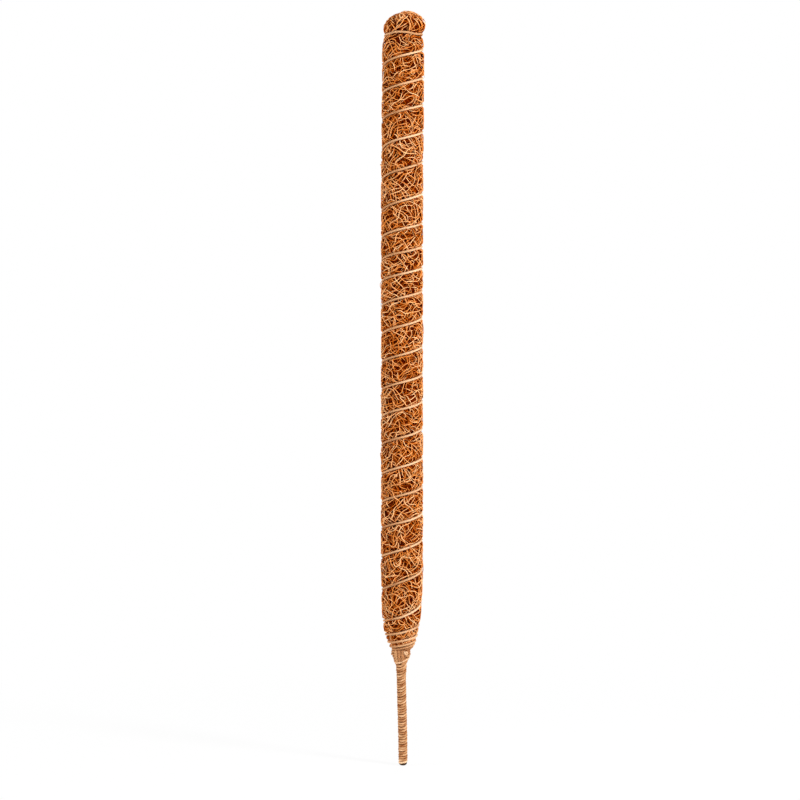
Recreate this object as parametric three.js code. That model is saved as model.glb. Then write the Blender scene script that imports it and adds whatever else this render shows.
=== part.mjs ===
// A coir plant pole: a bundle of soft wires, a wadding around it, a coir layer lashed with twine, a tied
// crown, and a stake wound with the same twine. Millimetres, +Z up, the tip of the stake at the origin.
import * as THREE from "three";
import { mergeVertices } from "three/addons/utils/BufferGeometryUtils.js";

// Overall sizes
const POLE_LENGTH = 900;
const BODY_DIAMETER = 50;
const STAKE_LENGTH = 121;
const FIT_GAP = 0.3; // clearance between neighbouring pieces

// Core: one wire in the middle and a ring of wires around it
const WIRE_DIAMETER = 1.1;
const RING_WIRES = 6;
const WIRE_TOP_COVER = 32; // from the end of the wires to the top of the crown

// Twine, the same on the stake, the neck, the body and the crown
const TWINE_DIAMETER = 3;
const TUCKED_END = 0.4; // thickness of the twine where its end is pressed flat under the next turn

// Stake: its twine starts on the cap, at the back
const STAKE_FIRST_TURN = 0.5;

// Cap on the tip of the stake
const CAP_HEIGHT = 3.4;
const CAP_FLOOR = 1.2;
const CAP_ROUNDING = 2.2;

// Coir: the tail under the neck turns, the taper above it, and the wadding inside
const TAIL_DIAMETER = 9.4;
const TAIL_LENGTH = 10;
const NECK_LENGTH = 18; // with the tail
const NECK_DIAMETER = 16.4;
const TAPER_LENGTH = 84;
const TAPER_LEAD_OUT = 6; // how far out and how far up the taper leaves the neck
const TAPER_LEAD_UP = 12;
const TAPER_SHOULDER = 16;
const PACKING_DIAMETER = 27;
const PACKING_START = 6; // above the top of the neck
const PACKING_POINT = 20;
const PACKING_BLUNT = 1;
const SLOPE_STEP = 1; // reach, up and down, over which the slope of the coir is taken

// Lashing: close turns on the neck, turns that spread over the taper, and even turns up the body
const SPREAD_TURNS = 5;
const SPREAD_HEIGHT = 41.5;
const SPREAD_POWER = 4; // how late the turns open up
const BODY_TURNS = 20.5;
const JOIN_TURN = 2.5; // where the neck's twine ends and the body's begins
const TWINE_SINK = 1.6; // centre of the twine below the surface of the coir
const GROOVE_FLARE = 1.1;
const GROOVE_LIP = 0.6; // how far the coir is pulled in at the edges of the groove
// Hand-wound unevenness: how many half waves run along the body, and how far each lifts the twine
const UNEVEN_WAVES = [1, 2, 5, 8];
const UNEVEN_LIFTS = [8, 8, 4, 2.5];

// Upright strands and knot that lock the neck turns, by their place around the neck in turns from the front
const HITCH_TOPS = [-0.13, -0.065, -0.005];
const HITCH_FEET = [-0.11, -0.05, 0.005];
const HITCH_LENGTH = 13;
const KNOT_TURN = 0.07;
const KNOT_DROP = 4; // below the top of the neck
const KNOT_RADIUS = 1.6;
const KNOT_STRAND = 0.65;

// Crown
const CROWN_DIAMETER = 48.8;
const CROWN_HEIGHT = 18; // dome above its widest ring
const TIE_DROP = 28.5; // from the top of the crown to the middle of the tie
const TIE_DIAMETER = 46.6; // over the tie
const SKIRT_LENGTH = 5; // crown below the middle of the tie
const SKIRT_THICKNESS = 2;

// Fineness of the mesh
const STEPS = 16; // along one turn of the body
const STAKE_STEPS = 8; // along one turn of the stake
const TWINE_SIDES = 5;
const SAME_HEIGHT = 1e-6; // heights no further apart than this are one level

// Sizes that follow from these
const twineRadius = TWINE_DIAMETER / 2;
const closePitch = TWINE_DIAMETER;
const ringRadius = WIRE_DIAMETER + FIT_GAP;
const bundleRadius = ringRadius + WIRE_DIAMETER / 2;
const boreRadius = bundleRadius + FIT_GAP;
const stakeRadius = boreRadius + TWINE_DIAMETER;
const bodyRadius = BODY_DIAMETER / 2;
const packingRadius = PACKING_DIAMETER / 2;
const neckTop = STAKE_LENGTH + NECK_LENGTH;
const packingBottom = neckTop + PACKING_START;
const tieHeight = POLE_LENGTH - TIE_DROP;
const tieRadius = TIE_DIAMETER / 2 - twineRadius;
const pinchRadius = tieRadius - twineRadius - FIT_GAP;
const crownFloor = POLE_LENGTH - CROWN_HEIGHT;
const skirtBottom = tieHeight - SKIRT_LENGTH;
const skirtRadius = pinchRadius - SKIRT_THICKNESS;
const layerTop = skirtBottom - FIT_GAP;
const grooveMouth = twineRadius + GROOVE_FLARE;
const lashingEnd = SPREAD_TURNS + BODY_TURNS;
const lashingTop = layerTop - grooveMouth - TWINE_DIAMETER;

// Materials, by the colours in the photo
const coir = { color: 0xa9652f, roughness: 0.95, metalness: 0 };
const twine = { color: 0xc99a6a, roughness: 0.9, metalness: 0 };
const iron = { color: 0x8c8d90, roughness: 0.4, metalness: 1 };
const darkPlastic = { color: 0x2e2620, roughness: 0.6, metalness: 0 };

// Outline of the coir layer from its tail to its shoulder, as radius and height
function coirOutline() {
  const taper = new THREE.CubicBezierCurve(
    new THREE.Vector2(NECK_DIAMETER / 2, neckTop),
    new THREE.Vector2(NECK_DIAMETER / 2 + TAPER_LEAD_OUT, neckTop + TAPER_LEAD_UP),
    new THREE.Vector2(bodyRadius, neckTop + TAPER_SHOULDER),
    new THREE.Vector2(bodyRadius, neckTop + TAPER_LENGTH),
  );
  const tail = new THREE.Vector2(TAIL_DIAMETER / 2, STAKE_LENGTH);
  const neck = new THREE.Vector2(NECK_DIAMETER / 2, STAKE_LENGTH + TAIL_LENGTH);
  const shoulder = new THREE.Vector2(bodyRadius, layerTop);
  return [tail, neck, ...taper.getPoints(12), shoulder];
}

const outline = coirOutline();

function coirRadius(height) {
  const next = outline.findIndex((point) => point.y >= height);
  if (next === -1) {
    return bodyRadius;
  }
  const above = outline[next];
  const below = outline[Math.max(next - 1, 0)];
  const share = above.y > below.y ? (height - below.y) / (above.y - below.y) : 1;
  return THREE.MathUtils.lerp(below.x, above.x, share);
}

// How much longer a step outwards is when it is taken level instead of square to the sloping coir
function slopeFactor(height) {
  const spread = coirRadius(height + SLOPE_STEP) - coirRadius(height - SLOPE_STEP);
  return Math.hypot(1, spread / (2 * SLOPE_STEP));
}

// Height of the twine after a number of turns, counted from the top of the neck
function twineHeight(turn) {
  const close = neckTop + closePitch * turn;
  if (turn <= 0) {
    return close;
  }
  if (turn <= SPREAD_TURNS) {
    const opening = SPREAD_HEIGHT - closePitch * SPREAD_TURNS;
    return close + opening * (turn / SPREAD_TURNS) ** SPREAD_POWER;
  }
  const start = neckTop + SPREAD_HEIGHT;
  const share = (turn - SPREAD_TURNS) / BODY_TURNS;
  const even = start + (lashingTop - start) * share;
  if (share >= 1) {
    return even;
  }
  return UNEVEN_LIFTS.reduce((sum, lift, i) => sum + lift * Math.sin(UNEVEN_WAVES[i] * Math.PI * share), even);
}

// How far the centre of the twine lies below the coir: outside it on the neck, pressed in on the body
function twineSink(turn) {
  const outside = -(twineRadius + FIT_GAP) * slopeFactor(twineHeight(turn));
  return THREE.MathUtils.lerp(outside, TWINE_SINK, THREE.MathUtils.smoothstep(turn, JOIN_TURN, SPREAD_TURNS));
}

function twineCentre(turn) {
  const height = twineHeight(turn);
  return { radius: coirRadius(height) - twineSink(turn), height };
}

// A point at a part of a turn around the pole, counted from the front towards the right
function around(turn, radius, height) {
  const angle = 2 * Math.PI * THREE.MathUtils.euclideanModulo(turn, 1) - Math.PI / 2;
  return new THREE.Vector3(radius * Math.cos(angle), radius * Math.sin(angle), height);
}

// A closed geometry from faces of four corners, listed anticlockwise as seen from outside
function fromFaces(faces) {
  const corners = faces.flatMap(([a, b, c, d]) => [a, b, c, a, c, d]);
  const merged = mergeVertices(new THREE.BufferGeometry().setFromPoints(corners), 1e-4);
  const kept = [];
  for (let i = 0; i < merged.index.count; i += 3) {
    const [a, b, c] = merged.index.array.slice(i, i + 3);
    if (a !== b && b !== c && c !== a) {
      kept.push(a, b, c);
    }
  }
  merged.setIndex(kept);
  merged.computeVertexNormals();
  return merged;
}

// Twine pressed flat where its full thickness would pass a level face below or above it
function pressedBetween(low, high, { radius, height }) {
  const bottom = Math.max(low, height - twineRadius);
  const top = Math.min(high, height + twineRadius);
  return { radius, height: (bottom + top) / 2, half: (top - bottom) / 2 };
}

// Twine wound around the pole between two turns, with a flat cut at both ends
function windTwine(firstTurn, lastTurn, centreAt, steps) {
  const turns = [firstTurn];
  for (let step = Math.floor(firstTurn * steps) + 1; step < lastTurn * steps; step++) {
    turns.push(step / steps);
  }
  turns.push(lastTurn);
  const sections = turns.map((turn) => {
    const { radius, height, half = twineRadius } = centreAt(turn);
    return Array.from({ length: TWINE_SIDES }, (_, side) => {
      const roll = (2 * Math.PI * side) / TWINE_SIDES;
      return around(turn, radius + twineRadius * Math.cos(roll), height + half * Math.sin(roll));
    });
  });
  const faces = [];
  for (let i = 0; i + 1 < sections.length; i++) {
    const [here, ahead] = [sections[i], sections[i + 1]];
    for (let side = 0; side < TWINE_SIDES; side++) {
      const next = (side + 1) % TWINE_SIDES;
      faces.push([here[side], ahead[side], ahead[next], here[next]]);
    }
  }
  const last = sections[sections.length - 1];
  for (let side = 1; side + 1 < TWINE_SIDES; side++) {
    const [a, b, c] = [0, side, side + 1];
    faces.push([sections[0][a], sections[0][b], sections[0][c], sections[0][c]]);
    faces.push([last[a], last[c], last[b], last[b]]);
  }
  return fromFaces(faces);
}

// A solid of revolution from points of radius and height, turned from three.js's Y axis to Z
function revolve(points) {
  const profile = points.map(([radius, height]) => new THREE.Vector2(radius, height));
  return new THREE.LatheGeometry(profile, STEPS).rotateX(Math.PI / 2);
}

// Faces between two rings of a solid of revolution
function bandFaces([radiusA, heightA], [radiusB, heightB]) {
  const faces = [];
  for (let step = 0; step < STEPS; step++) {
    const [here, ahead] = [step / STEPS, (step + 1) / STEPS];
    faces.push([
      around(here, radiusA, heightA),
      around(ahead, radiusA, heightA),
      around(ahead, radiusB, heightB),
      around(here, radiusB, heightB),
    ]);
  }
  return faces;
}

// The lashed outside of the coir. Its rows follow the twine, so each turn lies in a groove of its own and
// the coir swells between two turns. Past both ends of the twine the rows close up on a level ring.
function lashedSkin(bottom, top) {
  const firstStep = Math.floor(JOIN_TURN * STEPS);
  const lastStep = Math.ceil(lashingEnd * STEPS);
  const groove = [-grooveMouth, -twineRadius, twineRadius, grooveMouth];

  const rowHeight = (step, row) => {
    if (step < firstStep) {
      return bottom;
    }
    if (step > lastStep) {
      return top;
    }
    return THREE.MathUtils.clamp(twineHeight(step / STEPS) + groove[row], bottom, top);
  };

  const pointAt = (step, row) => {
    if (row === groove.length + 1) {
      return pointAt(step + STEPS, 0);
    }
    const turn = step / STEPS;
    if (row === groove.length) {
      const crest = (rowHeight(step, row - 1) + rowHeight(step + STEPS, 0)) / 2;
      return around(turn, coirRadius(crest), crest);
    }
    const height = rowHeight(step, row);
    if (height - bottom < SAME_HEIGHT || top - height < SAME_HEIGHT) {
      return around(turn, coirRadius(height), height);
    }
    const sink = twineSink(turn);
    const depth = Math.max(0, sink + (twineRadius + FIT_GAP) * slopeFactor(twineHeight(turn)));
    const onFloor = row === 1 || row === 2;
    const drop = onFloor ? depth : GROOVE_LIP * THREE.MathUtils.clamp(sink / TWINE_SINK, 0, 1);
    return around(turn, coirRadius(height) - drop, height);
  };

  const faces = [];
  for (let step = firstStep - STEPS; step < lastStep + STEPS; step++) {
    for (let row = 0; row <= groove.length; row++) {
      faces.push([
        pointAt(step, row),
        pointAt(step + 1, row),
        pointAt(step + 1, row + 1),
        pointAt(step, row + 1),
      ]);
    }
  }
  return faces;
}

function coreWire(angle, offset) {
  const bottom = CAP_FLOOR + FIT_GAP;
  const length = POLE_LENGTH - WIRE_TOP_COVER - bottom;
  const wire = new THREE.CylinderGeometry(WIRE_DIAMETER / 2, WIRE_DIAMETER / 2, length, 8);
  wire.rotateX(Math.PI / 2);
  wire.translate(offset * Math.cos(angle), offset * Math.sin(angle), bottom + length / 2);
  return wire;
}

function tipCap() {
  const rounding = new THREE.EllipseCurve(
    stakeRadius - CAP_ROUNDING, CAP_ROUNDING, CAP_ROUNDING, CAP_ROUNDING, -Math.PI / 2, 0,
  );
  return revolve([
    [0, 0],
    ...rounding.getPoints(5).map((point) => [point.x, point.y]),
    [stakeRadius, CAP_HEIGHT],
    [boreRadius, CAP_HEIGHT],
    [boreRadius, CAP_FLOOR],
    [0, CAP_FLOOR],
  ]);
}

// Close turns between the cap and the coir, with both ends tucked in so that no wire shows
function stakeWhipping() {
  const low = CAP_HEIGHT + FIT_GAP;
  const high = STAKE_LENGTH - FIT_GAP;
  const start = low + TUCKED_END - twineRadius;
  const end = high - TUCKED_END + twineRadius;
  const radius = boreRadius + twineRadius;
  const lastTurn = STAKE_FIRST_TURN + (end - start) / closePitch;
  const centreAt = (turn) => {
    const height = start + closePitch * (turn - STAKE_FIRST_TURN);
    return pressedBetween(low, high, { radius, height });
  };
  return windTwine(STAKE_FIRST_TURN, lastTurn, centreAt, STAKE_STEPS);
}

function coirPacking() {
  const top = crownFloor - FIT_GAP;
  return revolve([
    [boreRadius, packingBottom],
    [boreRadius + PACKING_BLUNT, packingBottom],
    [packingRadius, packingBottom + PACKING_POINT],
    [packingRadius, top],
    [boreRadius, top],
    [boreRadius, packingBottom],
  ]);
}

function coirLayer() {
  const bottom = twineHeight(JOIN_TURN) - grooveMouth;
  const top = lashingTop + grooveMouth;
  const cavityRadius = packingRadius + FIT_GAP;
  const cavityTop = crownFloor - FIT_GAP;
  const below = outline.filter((point) => point.y < bottom).map((point) => [point.x, point.y]);
  const rings = [
    [bodyRadius, top],
    [bodyRadius, layerTop],
    [skirtRadius - FIT_GAP, layerTop],
    [skirtRadius - FIT_GAP, cavityTop],
    [cavityRadius, cavityTop],
    [cavityRadius, packingBottom + PACKING_POINT - FIT_GAP],
    [boreRadius + PACKING_BLUNT + FIT_GAP, packingBottom - FIT_GAP],
    [boreRadius, packingBottom - FIT_GAP],
    [boreRadius, STAKE_LENGTH],
    ...below,
    [coirRadius(bottom), bottom],
  ];
  const faces = lashedSkin(bottom, top);
  for (let i = 0; i + 1 < rings.length; i++) {
    faces.push(...bandFaces(rings[i], rings[i + 1]));
  }
  return fromFaces(faces);
}

function coirCrown() {
  const wide = CROWN_DIAMETER / 2;
  const bulge = new THREE.QuadraticBezierCurve(
    new THREE.Vector2(pinchRadius, tieHeight + twineRadius),
    new THREE.Vector2(wide, tieHeight + twineRadius),
    new THREE.Vector2(wide, crownFloor),
  );
  const dome = new THREE.EllipseCurve(0, crownFloor, wide, CROWN_HEIGHT, 0, Math.PI / 2);
  const round = [...bulge.getPoints(4), ...dome.getPoints(7).slice(1, -1)];
  return revolve([
    [0, crownFloor],
    [skirtRadius, crownFloor],
    [skirtRadius, skirtBottom],
    [wide, skirtBottom],
    [wide, tieHeight - grooveMouth],
    [pinchRadius, tieHeight - twineRadius],
    ...round.map((point) => [point.x, point.y]),
    [0, POLE_LENGTH],
  ]);
}

function topTie() {
  const section = [];
  for (let side = 0; side <= TWINE_SIDES; side++) {
    const roll = (2 * Math.PI * (side % TWINE_SIDES)) / TWINE_SIDES;
    section.push([tieRadius + twineRadius * Math.cos(roll), tieHeight + twineRadius * Math.sin(roll)]);
  }
  return revolve(section);
}

// Close turns up the neck, the first one tucked in at its lower edge, and the first spread turns
function neckWhipping() {
  const firstTurn = (STAKE_LENGTH + TUCKED_END - twineRadius - neckTop) / closePitch;
  const { radius } = twineCentre(JOIN_TURN);
  const lastTurn = JOIN_TURN - FIT_GAP / (2 * Math.PI * radius);
  const centreAt = (turn) => pressedBetween(STAKE_LENGTH, POLE_LENGTH, twineCentre(turn));
  return windTwine(firstTurn, lastTurn, centreAt, STEPS);
}

// Radius over the neck turns at a height, with the clearance for what lies on them
function overNeck(height) {
  return coirRadius(height) + (TWINE_DIAMETER + 2 * FIT_GAP) * slopeFactor(height);
}

function hitchStrand(topTurn, footTurn) {
  const top = neckTop - twineRadius;
  const points = [0, 0.25, 0.5, 0.75, 1].map((share) => {
    const height = top - HITCH_LENGTH * share;
    const turn = THREE.MathUtils.lerp(topTurn, footTurn, share);
    return around(turn, overNeck(height) + twineRadius, height);
  });
  const section = new THREE.Shape().absarc(0, 0, twineRadius, 0, 2 * Math.PI);
  const path = new THREE.CatmullRomCurve3(points);
  return new THREE.ExtrudeGeometry(section, {
    steps: 6, curveSegments: 8, bevelEnabled: false, extrudePath: path,
  });
}

const pole = new THREE.Group();

function addPiece(name, geometry, material) {
  const mesh = new THREE.Mesh(geometry, new THREE.MeshStandardMaterial(material));
  mesh.name = name;
  pole.add(mesh);
  return mesh;
}

addPiece("core_wire_centre", coreWire(0, 0), iron);
for (let i = 0; i < RING_WIRES; i++) {
  addPiece(`core_wire_${i + 1}`, coreWire((2 * Math.PI * i) / RING_WIRES, ringRadius), iron);
}
addPiece("tip_cap", tipCap(), darkPlastic);
addPiece("stake_whipping", stakeWhipping(), twine);
addPiece("coir_packing", coirPacking(), coir);
addPiece("coir_layer", coirLayer(), coir);
addPiece("coir_crown", coirCrown(), coir);
addPiece("lashing_twine", windTwine(JOIN_TURN, lashingEnd, twineCentre, STEPS), twine);
addPiece("top_tie", topTie(), twine);
addPiece("neck_whipping", neckWhipping(), twine);
HITCH_TOPS.forEach((topTurn, i) => {
  addPiece(`hitch_strand_${i + 1}`, hitchStrand(topTurn, HITCH_FEET[i]), twine);
});

// The knot lies flat against the neck turns, with its axis pointing away from the pole
const knot = addPiece("neck_knot", new THREE.TorusKnotGeometry(KNOT_RADIUS, KNOT_STRAND, 36, 6), twine);
const knotHeight = neckTop - KNOT_DROP;
const knotDepth = KNOT_RADIUS / 2 + KNOT_STRAND;
knot.position.copy(around(KNOT_TURN, overNeck(knotHeight) + knotDepth, knotHeight));
knot.quaternion.setFromUnitVectors(new THREE.Vector3(0, 0, 1), around(KNOT_TURN, 1, 0));

export default pole;
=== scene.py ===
# %% [markdown]
# # A coir plant pole, dressed for its portrait
# The real pole is a bundle of wires packed in coconut fibre, lashed with a spiral of twine, tied into a
# crown at the top and wound with twine down its stake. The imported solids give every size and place. This
# lesson keeps them as a fixed frame and lays real strands over it, because a picture of fibre on a
# smooth tube never casts the small shadows that make coir look like coir.

import math

import bpy
import numpy as np
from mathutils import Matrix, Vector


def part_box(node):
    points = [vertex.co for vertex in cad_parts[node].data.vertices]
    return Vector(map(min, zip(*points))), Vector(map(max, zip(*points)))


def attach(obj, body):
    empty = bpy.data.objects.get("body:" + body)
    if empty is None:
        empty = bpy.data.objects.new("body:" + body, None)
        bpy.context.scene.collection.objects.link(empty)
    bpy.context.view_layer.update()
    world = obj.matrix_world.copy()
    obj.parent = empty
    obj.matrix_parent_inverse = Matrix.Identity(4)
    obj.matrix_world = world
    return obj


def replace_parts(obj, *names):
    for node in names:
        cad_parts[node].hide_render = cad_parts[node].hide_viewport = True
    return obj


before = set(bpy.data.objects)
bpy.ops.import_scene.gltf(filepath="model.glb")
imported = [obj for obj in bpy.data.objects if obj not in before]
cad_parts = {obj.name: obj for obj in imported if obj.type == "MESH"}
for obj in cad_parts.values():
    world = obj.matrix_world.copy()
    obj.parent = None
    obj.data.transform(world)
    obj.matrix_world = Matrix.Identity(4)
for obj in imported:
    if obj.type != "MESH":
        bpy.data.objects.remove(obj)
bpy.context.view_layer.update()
print("packed pieces:", sorted(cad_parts))

# %% [markdown]
# ## Sizes
# The sizes of the pole could be typed in again, but then the picture and the solids could drift apart.
# So they are measured off the solids, in millimetres, until a mesh is made in metres. A few sizes can't
# be read from a box, such as the thickness of the twine, and are named here.

# %% Sizes read from the frame
MM = 0.001


def span(node):
    low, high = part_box(node)
    return np.array(low) / MM, np.array(high) / MM


layer_low, layer_high = span("coir_layer")
crown_low, crown_high = span("coir_crown")
tie_low, tie_high = span("top_tie")
cap_high = span("tip_cap")[1]

STAKE_LENGTH = layer_low[2]
BODY_RADIUS = layer_high[0]
CROWN_TOP = crown_high[2]
CROWN_RADIUS = crown_high[0]
SKIRT_BOTTOM = crown_low[2]
TIE_HEIGHT = (tie_low[2] + tie_high[2]) / 2
STAKE_RADIUS = cap_high[0]
CAP_HEIGHT = cap_high[2]

TWINE_RADIUS = 1.5
FIT_GAP = 0.3
TIE_RADIUS = tie_high[0] - TWINE_RADIUS
PINCH_RADIUS = TIE_RADIUS - TWINE_RADIUS - FIT_GAP
NECK_LENGTH = 18
NECK_TOP = STAKE_LENGTH + NECK_LENGTH
print("pole", round(CROWN_TOP), "mm tall, body", round(2 * BODY_RADIUS), "mm across")

# %% [markdown]
# ## The outline of the coir
# The coir of the real pole runs from the crown to the neck without a seam. One line from the top of the
# crown down to the tail under the neck, turned around the axis, gives its whole surface. A curve with a
# Screw modifier could show that surface, but here it stays an array, because strands have to be laid on
# it. A place is two numbers, how far down the line it is and how far around the pole, so one recipe
# covers the dome, the pinch under the tie, the body and the taper.

# %% Crown and shoulder of the outline
CROWN_HEIGHT = 18
DOME_POINTS = 40
BULGE_POINTS = 16
SHOULDER_POINTS = 24
SHOULDER_INSET = 1
SHOULDER_LEAD = 10
SHOULDER_LENGTH = 26


def pulled_curve(points, count):
    """A curve from the first point to the last, pulled by those between."""
    share = np.linspace(0, 1, count)[:, None]
    rest = np.array(points, float)
    while len(rest) > 1:
        rest = [a + (b - a) * share for a, b in zip(rest[:-1], rest[1:])]
    return rest[0]


crown_floor = CROWN_TOP - CROWN_HEIGHT
dome_angle = np.linspace(np.pi / 2, 0, DOME_POINTS)
dome_height = crown_floor + CROWN_HEIGHT * np.sin(dome_angle)
dome = np.column_stack((CROWN_RADIUS * np.cos(dome_angle), dome_height))
bulge = pulled_curve([
    (CROWN_RADIUS, crown_floor),
    (CROWN_RADIUS, TIE_HEIGHT + TWINE_RADIUS),
    (PINCH_RADIUS, TIE_HEIGHT + TWINE_RADIUS),
], BULGE_POINTS)
shoulder = pulled_curve([
    (PINCH_RADIUS, TIE_HEIGHT - TWINE_RADIUS),
    (BODY_RADIUS - SHOULDER_INSET, TIE_HEIGHT - 2 * TWINE_RADIUS),
    (BODY_RADIUS, TIE_HEIGHT - SHOULDER_LEAD),
    (BODY_RADIUS, TIE_HEIGHT - SHOULDER_LENGTH),
], SHOULDER_POINTS)
print("crown is pinched to", round(2 * PINCH_RADIUS, 1), "mm under the tie")

# %% Taper and tail, and the whole outline
TAIL_RADIUS = 4.7
TAIL_LENGTH = 10
NECK_RADIUS = 8.2
TAPER_LENGTH = 120
TAPER_LEAD_OUT = 12
TAPER_LEAD_UP = 14
TAPER_SHOULDER = 14
TAPER_POINTS = 40

taper = pulled_curve([
    (BODY_RADIUS, NECK_TOP + TAPER_LENGTH),
    (BODY_RADIUS, NECK_TOP + TAPER_SHOULDER),
    (NECK_RADIUS + TAPER_LEAD_OUT, NECK_TOP + TAPER_LEAD_UP),
    (NECK_RADIUS, NECK_TOP),
], TAPER_POINTS)
tail = [(NECK_RADIUS, STAKE_LENGTH + TAIL_LENGTH), (TAIL_RADIUS, STAKE_LENGTH)]
outline = np.vstack((dome, bulge[1:], shoulder, taper, tail))
outline_down = np.concatenate(([0], np.cumsum(np.hypot(*np.diff(outline, axis=0).T))))
outline_slope = np.gradient(outline, outline_down, axis=0)
outline_out = np.column_stack((-outline_slope[:, 1], outline_slope[:, 0]))
print("outline is", round(outline_down[-1]), "mm long, with", len(outline), "points")

# %% Places on the outline
rising = outline[::-1]


def coir_radius(height):
    return np.interp(height, rising[:, 1], rising[:, 0])


def slope_factor(height):
    return np.hypot(1, (coir_radius(height + 1) - coir_radius(height - 1)) / 2)


def down_at(height):
    return np.interp(height, rising[:, 1], outline_down[::-1])


def on_outline(down):
    return [np.interp(down, outline_down, column) for column in (*outline.T, *outline_out.T)]


def place(down, turn, lift):
    """Points over the outline, and the direction that is outwards there. Turn 0 is the front."""
    radius, height, out_radius, out_height = on_outline(down)
    angle = 2 * np.pi * turn - np.pi / 2
    reach = radius + lift * out_radius
    points = np.stack((reach * np.cos(angle), reach * np.sin(angle), height + lift * out_height), -1)
    outward = np.stack((out_radius * np.cos(angle), out_radius * np.sin(angle), out_height), -1)
    return points, outward


print("taper starts", round(float(down_at(NECK_TOP + TAPER_LENGTH))), "mm down the outline")

# %% [markdown]
# ## The route of the twine
# The lashing of the real pole winds closely up the neck, spreads over the taper and then climbs the body
# in even turns with the slow unevenness of a hand-wound pole. The turns lean, higher on the right, and
# the lower ones droop at the front. The route could be drawn by hand as a curve, but the coir and the
# twine must agree on where it runs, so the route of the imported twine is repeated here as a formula.

# %% Height of the twine at each turn
CLOSE_PITCH = 2 * TWINE_RADIUS
SPREAD_TURNS = 5
SPREAD_HEIGHT = 41.5
SPREAD_POWER = 4
BODY_TURNS = 20.5
LASHING_END = SPREAD_TURNS + BODY_TURNS
GROOVE_LIP = 1.1
GROOVE_MOUTH = TWINE_RADIUS + GROOVE_LIP
LASHING_TOP = SKIRT_BOTTOM - FIT_GAP - GROOVE_MOUTH - 2 * TWINE_RADIUS
UNEVENNESS = ((1, 8), (2, 8), (5, 4), (8, 2.5))
BODY_LEAN = 0.8
SIDE_LIFT = 0.4
SIDE_CURL = 0.6
LOW_LEAN = 2.2
LOW_DROOP = 1.4
LOW_TURNS = (5.5, 8)
LEAN_TURNS = (-8, -3)


def smoothstep(value, low, high):
    share = np.clip((value - low) / (high - low), 0, 1)
    return share * share * (3 - 2 * share)


def level_height(turn):
    close = NECK_TOP + CLOSE_PITCH * turn
    opened = (np.clip(turn, 0, None) / SPREAD_TURNS) ** SPREAD_POWER
    opening = (SPREAD_HEIGHT - CLOSE_PITCH * SPREAD_TURNS) * opened
    share = np.clip((turn - SPREAD_TURNS) / BODY_TURNS, 0, 1)
    start = NECK_TOP + SPREAD_HEIGHT
    even = start + (LASHING_TOP - start) * share
    for waves, lift in UNEVENNESS:
        even = even + lift * np.sin(waves * np.pi * share)
    return np.where(turn <= SPREAD_TURNS, close + opening, even)


def twine_height(turn):
    low_part = 1 - smoothstep(turn, *LOW_TURNS)
    aside = np.sin(2 * np.pi * turn)
    lean = (BODY_LEAN + (LOW_LEAN - BODY_LEAN) * low_part) * aside
    lean = lean + (1 - low_part) * aside ** 2 * (SIDE_LIFT + SIDE_CURL * aside)
    lean = lean - LOW_DROOP * low_part * np.cos(2 * np.pi * turn)
    return level_height(turn) + smoothstep(turn, *LEAN_TURNS) * lean


lashing_reach = [round(float(twine_height(turn))) for turn in (0, LASHING_END)]
print("lashing climbs from", lashing_reach[0], "to", lashing_reach[1], "mm")

# %% Radius of the twine at each turn
TWINE_SINK = 1.6
SINK_TURN = 0.3


def twine_sink(turn):
    outside = -(TWINE_RADIUS + FIT_GAP) * slope_factor(twine_height(turn))
    return outside + (TWINE_SINK - outside) * smoothstep(turn, SINK_TURN, SPREAD_TURNS)


def twine_radius_at(turn):
    return coir_radius(twine_height(turn)) - twine_sink(turn)


print("twine lies at a radius of", round(float(twine_radius_at(LASHING_END / 2)), 1), "mm on the body")

# %% [markdown]
# ## How the twine presses the coir in
# Under each turn the coir dips below the twine, and between two turns it swells. A Shrinkwrap modifier
# could push a skin in, but not thousands of single strands. So a strand asks this function how far it
# has to dip where it is, and passes under the twine instead of through it.

# %% Dip of the coir under the twine
GROOVE_FLAT = 1.6
GROOVE_SIDE = 1.2


def dip(turn, height):
    part = np.mod(turn, 1)
    deepest = np.zeros_like(height)
    for whole in range(int(LASHING_END) + 1):
        wound = np.clip(whole + part, 0, LASHING_END)
        beside = np.clip(np.abs(height - twine_height(wound)) - GROOVE_FLAT, 0, None)
        depth = np.clip(twine_sink(wound) + TWINE_RADIUS, 0, None)
        inside = (whole + part) <= LASHING_END
        deepest = np.maximum(deepest, inside * depth * np.exp(-(beside / GROOVE_SIDE) ** 2))
    return deepest


under_turn = dip(np.zeros(1), twine_height(np.full(1, 12.0)))[0]
print("coir dips", round(float(under_turn), 2), "mm under a turn")

# %% [markdown]
# ## A slight bow
# No pole of bent wire is quite straight. This one leans right at the crown and bows left at the neck, by
# a millimetre or two, and its crown has slumped on the left and bulges on the right. A lattice could
# bend the finished meshes, but it would stay behind as an extra object. Here every point is moved by its
# height just before a mesh is made of it.

# %% Bow of the pole
UPPER_BOW = 1.3
UPPER_BOW_HEIGHTS = (CROWN_TOP - 260, CROWN_TOP - 40)
CROWN_BOW = 2.2
CROWN_BOW_HEIGHTS = (CROWN_TOP - 38, CROWN_TOP - 5)
NECK_BOW = 1.0
NECK_BOW_REACH = 60
TIP_BOW = 1.1
TIP_BOW_HEIGHTS = (10, 95)
SLUMP = 2.3
SLUMP_ACROSS = (-4, 12)
SLUMP_HEIGHTS = (TIE_HEIGHT + 3, CROWN_TOP - 6)
BULGE = 0.05
BULGE_START = 8
BULGE_HEIGHTS = (TIE_HEIGHT + 3, TIE_HEIGHT + 12)


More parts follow.
